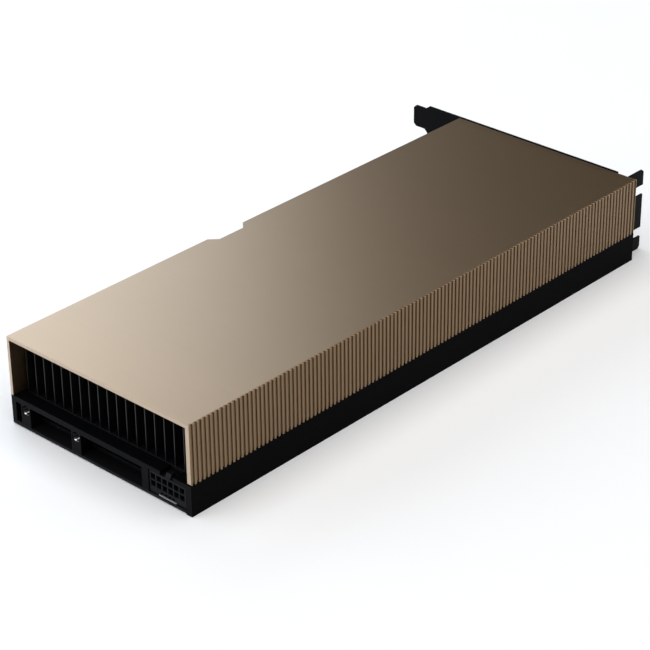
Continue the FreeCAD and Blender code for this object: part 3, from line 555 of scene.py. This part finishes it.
def put_on(node, material, edge=0.0):
    """Give a node its material, and break its sharp edges."""
    target = NODES[node]
    target.data.materials.clear()
    target.data.materials.append(material)
    if edge > 0.0:
        weld = target.modifiers.new("Weld", "WELD")
        weld.merge_threshold = WELD_DISTANCE
        bevel = target.modifiers.new("Broken edges", "BEVEL")
        bevel.width = edge
        bevel.segments = EDGE_STEPS
        bevel.limit_method = "ANGLE"
        bevel.angle_limit = EDGE_ANGLE
        target.modifiers.new("Even shading", "WEIGHTED_NORMAL")


def new_piece(name, bm, material, node):
    """Turn a mesh into a piece that stands for one node and rides on the card."""
    mesh = bpy.data.meshes.new(name)
    bmesh.ops.recalc_face_normals(bm, faces=bm.faces)
    bm.to_mesh(mesh)
    bm.free()
    mesh.materials.append(material)
    piece = bpy.data.objects.new(name, mesh)
    bpy.context.scene.collection.objects.link(piece)
    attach(piece, BODY)
    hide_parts(node)


def islands(node):
    """Give the lowest and highest corner of each separate solid of a node."""
    bm = bmesh.new()
    bm.from_mesh(NODES[node].data)
    bmesh.ops.remove_doubles(bm, verts=bm.verts, dist=WELD_DISTANCE)
    left = set(bm.verts)
    boxes = []
    while left:
        front = [left.pop()]
        found = list(front)
        while front:
            linked = {e.other_vert(v) for v in front for e in v.link_edges} & left
            left -= linked
            front = list(linked)
            found += front
        low = Vector([min(v.co[axis] for v in found) for axis in range(3)])
        high = Vector([max(v.co[axis] for v in found) for axis in range(3)])
        boxes.append((low, high))
    bm.free()
    return sorted(boxes, key=lambda box: tuple(box[0]))


def spun(bm, stations, steps, matrix):
    """Join rings along an axis; each station gives its radius at a turn, and its height."""
    rings = []
    for radius_at, height in stations:
        ring = []
        for step in range(steps):
            turn = 2.0 * math.pi * step / steps
            radius = radius_at(turn)
            point = Vector((radius * math.cos(turn), radius * math.sin(turn), height))
            ring.append(bm.verts.new(matrix @ point))
        rings.append(ring)
    for low, high in zip(rings, rings[1:]):
        join(bm, low, high)
    return rings


def join(bm, low, high):
    """Join two rings of as many points with a band of faces."""
    for step in range(len(low)):
        follower = (step + 1) % len(low)
        bm.faces.new((low[step], low[follower], high[follower], high[step]))


def level(radius):
    """Give a round ring's radius at any turn."""
    return lambda turn: radius


def lobed(radius):
    """Give the six-lobed drive's radius at a turn, for its outer radius."""
    return lambda turn: radius * (1.0 - LOBE_DEPTH + LOBE_DEPTH * math.cos(LOBES * turn))


def threaded(crest, root, pitch, height):
    """Give a thread's inner radius at a turn, at one height of its bore."""
    def radius_at(turn):
        share = (height / pitch + turn / (2.0 * math.pi)) % 1.0
        return crest + (root - crest) * abs(2.0 * share - 1.0)
    return radius_at


def facing(direction, centre):
    """Give the matrix that turns +Z to a direction and moves to a centre."""
    turn = Vector(direction).to_track_quat("Z", "Y").to_matrix().to_4x4()
    return Matrix.Translation(centre) @ turn


def add_screw(bm, head, shank, length, details, matrix):
    """Countersunk screw with a six-lobed drive; its face is at height 0, its tip below."""
    drive = details.drive_radius
    stations = (
        (lobed(RECESS_MIDDLE * drive), -details.drive_depth),
        (lobed(RECESS_FLOOR * drive), -details.drive_depth),
        (lobed(drive), -MOUTH_CHAMFER),
        (lobed(RECESS_MOUTH * drive), 0.0),
        (level(head - HEAD_CHAMFER), 0.0),
        (level(head), -HEAD_CHAMFER),
        (level(shank), shank - head),
        (level(shank), TIP_CHAMFER - length),
        (level(shank - TIP_CHAMFER), -length),
    )
    rings = spun(bm, stations, details.turn_steps, matrix)
    bm.faces.new(rings[0])
    bm.faces.new(rings[-1])


def add_sleeve(bm, low, high, details):
    """Threaded sleeve with a funnel mouth that fills the box of one insert."""
    outer = (high.y - low.y) / 2.0
    length = high.x - low.x
    root = outer - details.mouth_width
    crest = root - details.thread_depth
    rows = int(length / details.thread_pitch * ROWS_PER_PITCH)
    stations = [
        (level(outer), -length),
        (level(outer), 0.0),
        (level(outer - INSERT_CHAMFER), 0.0),
        (level(crest), -details.mouth_depth),
    ]
    for row in range(1, rows):
        height = -length * row / rows
        if height < -details.mouth_depth:
            stations.append((threaded(crest, root, details.thread_pitch, height), height))
    stations.append((level(root), -length))
    centre = Vector((low.x, (low.y + high.y) / 2.0, (low.z + high.z) / 2.0))
    rings = spun(bm, stations, details.turn_steps, facing((-1.0, 0.0, 0.0), centre))
    join(bm, rings[-1], rings[0])


class CARD_OT_dress_shell(bpy.types.Operator):
    """Finish the cover, the frame, the underside and the bracket"""

    bl_idname = "card.dress_shell"
    bl_label = "Dress Shell"

    def execute(self, context):
        colours = context.scene.card_finishes
        edge = context.scene.card_details.edge
        put_on("top_cover", champagne("Champagne anodising", colours), edge)
        put_on("base_frame", frame_black("Frame black", colours), edge)
        plate_black = powder_coated("Underside coat", tuple(colours.plate), 0.5, gloss=0.1)
        put_on("backplate", plate_black, edge)
        bracket_black = powder_coated("Bracket coat", tuple(colours.bracket), 0.5, gloss=0.04)
        put_on("bracket", bracket_black, edge)
        put_on("insulating_film", amber_film("Amber film", (0.35, 0.2, 0.06)))
        return {"FINISHED"}


class CARD_OT_dress_cooling(bpy.types.Operator):
    """Finish the fin stack, its base, the paste and the pads"""

    bl_idname = "card.dress_cooling"
    bl_label = "Dress Cooling"

    def execute(self, context):
        black = tuple(context.scene.card_finishes.fins)
        edge = context.scene.card_details.edge
        put_on("heatsink_fins", brushed("Fin coat", black, 0.45, (60.0, 60.0, 2600.0)))
        put_on("heatsink_base", anodised("Base anodising", black, 0.45, BASE_GRAIN), edge)
        put_on("thermal_pads", soft_pad("Pad silicone", (0.42, 0.48, 0.55)))
        put_on("thermal_paste", soft_pad("Paste", (0.5, 0.5, 0.5)))
        return {"FINISHED"}


class CARD_OT_dress_board(bpy.types.Operator):
    """Finish the circuit board, its contacts and what is soldered on it"""

    bl_idname = "card.dress_board"
    bl_label = "Dress Board"

    def execute(self, context):
        colours = context.scene.card_finishes
        edge = context.scene.card_details.edge
        put_on("circuit_board", soldered_board("Solder mask", tuple(colours.board)))
        gold = brushed("Gilding", tuple(colours.gilding), 0.22, (300.0, 4200.0, 300.0))
        put_on("edge_contacts", gold)
        put_on("chip_substrate", soldered_board("Package laminate", (0.03, 0.1, 0.05)))
        nickel = brushed("Nickel plate", (0.62, 0.61, 0.58), 0.3, (200.0, 3000.0, 200.0))
        for node in ("package_stiffener", "clock_chip"):
            put_on(node, nickel, edge)
        silicon = polished_silicon("Silicon", (0.1, 0.11, 0.13))
        for node in ("processor_die", "memory_stacks"):
            put_on(node, silicon)
        chip = moulded_chip("Chip body", (0.022, 0.022, 0.023))
        for node in ("power_stages", "chip_capacitors", "control_chips", "flash_chip"):
            put_on(node, chip)
        ferrite = moulded_chip("Pressed powder", (0.09, 0.09, 0.092))
        for node in ("inductors", "input_chokes"):
            put_on(node, ferrite, ROUND_EDGE * edge)
        put_on("ceramic_capacitors", moulded_chip("Ceramic", (0.42, 0.31, 0.2)))
        can = brushed("Drawn can", (0.7, 0.7, 0.71), 0.28, (300.0, 300.0, 4000.0))
        put_on("can_capacitors", can, ROUND_EDGE * edge)
        return {"FINISHED"}


class CARD_OT_dress_inlet(bpy.types.Operator):
    """Finish the power inlet's housing and its contacts"""

    bl_idname = "card.dress_inlet"
    bl_label = "Dress Inlet"

    def execute(self, context):
        colours = context.scene.card_finishes
        edge = INLET_EDGE * context.scene.card_details.edge
        put_on("power_connector", inlet_moulding("Inlet moulding", colours), edge)
        pins = brushed("Pin plating", tuple(colours.gilding), 0.25, (4200.0, 300.0, 300.0))
        for node in ("power_pins", "sense_pins"):
            put_on(node, pins)
        return {"FINISHED"}


class CARD_OT_make_screws(bpy.types.Operator):
    """Build every screw with its drive recess"""

    bl_idname = "card.make_screws"
    bl_label = "Make Screws"

    def execute(self, context):
        details = context.scene.card_details
        steel = brushed("Blackened steel", (0.07, 0.07, 0.075), 0.38, (900.0, 900.0, 900.0))
        for node, direction in SCREW_DIRECTIONS.items():
            bm = bmesh.new()
            for low, high in islands(node):
                self.add_one(bm, low, high, Vector(direction), details)
            new_piece("detailed_" + node, bm, steel, node)
        return {"FINISHED"}

    def add_one(self, bm, low, high, direction, details):
        """Build the screw that fills one solid's box, its head on the side of a direction."""
        span = high - low
        length = abs(span.dot(direction))
        across = sorted(span)[-2] if length == max(span) else max(span)
        head = across / 2.0
        face = (low + high) / 2.0 + direction * length / 2.0
        add_screw(bm, head, head / HEAD_PER_SHANK, length, details, facing(direction, face))


class CARD_OT_make_inserts(bpy.types.Operator):
    """Build the rear inserts with their thread"""

    bl_idname = "card.make_inserts"
    bl_label = "Make Inserts"

    def execute(self, context):
        # The inserts' bright lower lip is a painted highlight.
        steel = highlighted_insert("Worn insert")
        bm = bmesh.new()
        for low, high in islands("rear_inserts"):
            add_sleeve(bm, low, high, context.scene.card_details)
        new_piece("threaded_inserts", bm, steel, "rear_inserts")
        return {"FINISHED"}


class CARD_OT_make_studio(bpy.types.Operator):
    """Set up the floor, the lamps, the room and the camera"""

    bl_idname = "card.make_studio"
    bl_label = "Make Studio"

    def execute(self, context):
        scene = context.scene
        studio = scene.card_studio
        self.add_floor(scene, studio)
        scene.world = studio_room("Studio room", studio)
        for name, place, size, setting, target, cool in LAMPS:
            tint = studio.cool if cool else WHITE
            self.add_lamp(scene, name, place, size, getattr(studio, setting), target, tint)
        self.add_camera(scene, studio)
        scene.view_settings.view_transform = "Standard"
        return {"FINISHED"}

    def add_floor(self, scene, studio):
        half = studio.floor_side / 2.0
        corners = ((-half, -half, 0.0), (half, -half, 0.0), (half, half, 0.0), (-half, half, 0.0))
        mesh = bpy.data.meshes.new("Floor")
        mesh.from_pydata(corners, [], [(0, 1, 2, 3)])
        mesh.materials.append(floor_paper("Floor paper", studio))
        floor = bpy.data.objects.new("Floor", mesh)
        scene.collection.objects.link(floor)

    def add_lamp(self, scene, name, place, size, brightness, target, tint):
        """Add a soft rectangular lamp of the given brightness that faces its target."""
        lamp = bpy.data.lights.new(name, "AREA")
        lamp.shape = "RECTANGLE"
        lamp.size, lamp.size_y = size
        lamp.energy = brightness * math.pi * size[0] * size[1]
        lamp.color = tint
        holder = bpy.data.objects.new(name, lamp)
        scene.collection.objects.link(holder)
        holder.matrix_world = facing(Vector(place) - Vector(target), Vector(place))

    def add_camera(self, scene, studio):
        """Aim the camera by azimuth, elevation and roll, as the photograph was taken."""
        azimuth, elevation, roll = (math.radians(angle) for angle in CAMERA_ANGLES)
        back = Vector((math.sin(azimuth) * math.cos(elevation),
                       -math.cos(azimuth) * math.cos(elevation), math.sin(elevation)))
        right = Vector((math.cos(azimuth), math.sin(azimuth), 0.0))
        up = back.cross(right)
        turned_right = math.cos(roll) * right + math.sin(roll) * up
        turned_up = math.cos(roll) * up - math.sin(roll) * right
        turn = Matrix((turned_right, turned_up, back)).transposed().to_4x4()
        camera = bpy.data.cameras.new("Camera")
        camera.lens = studio.lens
        camera.sensor_width = SENSOR_WIDTH
        camera.clip_start, camera.clip_end = CLIP_RANGE
        holder = bpy.data.objects.new("Camera", camera)
        scene.collection.objects.link(holder)
        holder.matrix_world = Matrix.Translation(Vector(CAMERA_PLACE) * MM) @ turn
        scene.camera = holder


class CARD_PT_panel(bpy.types.Panel):
    """Lists the steps and the settings of the card"""

    bl_idname = "CARD_PT_panel"
    bl_label = "Accelerator Card"
    bl_space_type = "VIEW_3D"
    bl_region_type = "UI"
    bl_category = "Card"

    def draw(self, context):
        for operator in OPERATORS:
            self.layout.operator(operator.bl_idname)
        for group_name in GROUPS:
            group = getattr(context.scene, group_name)
            box = self.layout.box()
            for name in group.bl_rna.properties.keys():
                if name not in ("rna_type", "name"):
                    box.prop(group, name)


GROUPS = {"card_finishes": CardFinishes, "card_details": CardDetails, "card_studio": CardStudio}
OPERATORS = (
    CARD_OT_dress_shell,
    CARD_OT_dress_cooling,
    CARD_OT_dress_board,
    CARD_OT_dress_inlet,
    CARD_OT_make_screws,
    CARD_OT_make_inserts,
    CARD_OT_make_studio,
)


def register():
    for kind in (*GROUPS.values(), *OPERATORS, CARD_PT_panel):
        bpy.utils.register_class(kind)
    for name, kind in GROUPS.items():
        setattr(bpy.types.Scene, name, PointerProperty(type=kind))


def unregister():
    for name in GROUPS:
        delattr(bpy.types.Scene, name)
    for kind in reversed((*GROUPS.values(), *OPERATORS, CARD_PT_panel)):
        bpy.utils.unregister_class(kind)


def main():
    register()
    bpy.ops.card.dress_shell()
    bpy.ops.card.dress_cooling()
    bpy.ops.card.dress_board()
    bpy.ops.card.dress_inlet()
    bpy.ops.card.make_screws()
    bpy.ops.card.make_inserts()
    bpy.ops.card.make_studio()


if __name__ == "__main__":
    main()
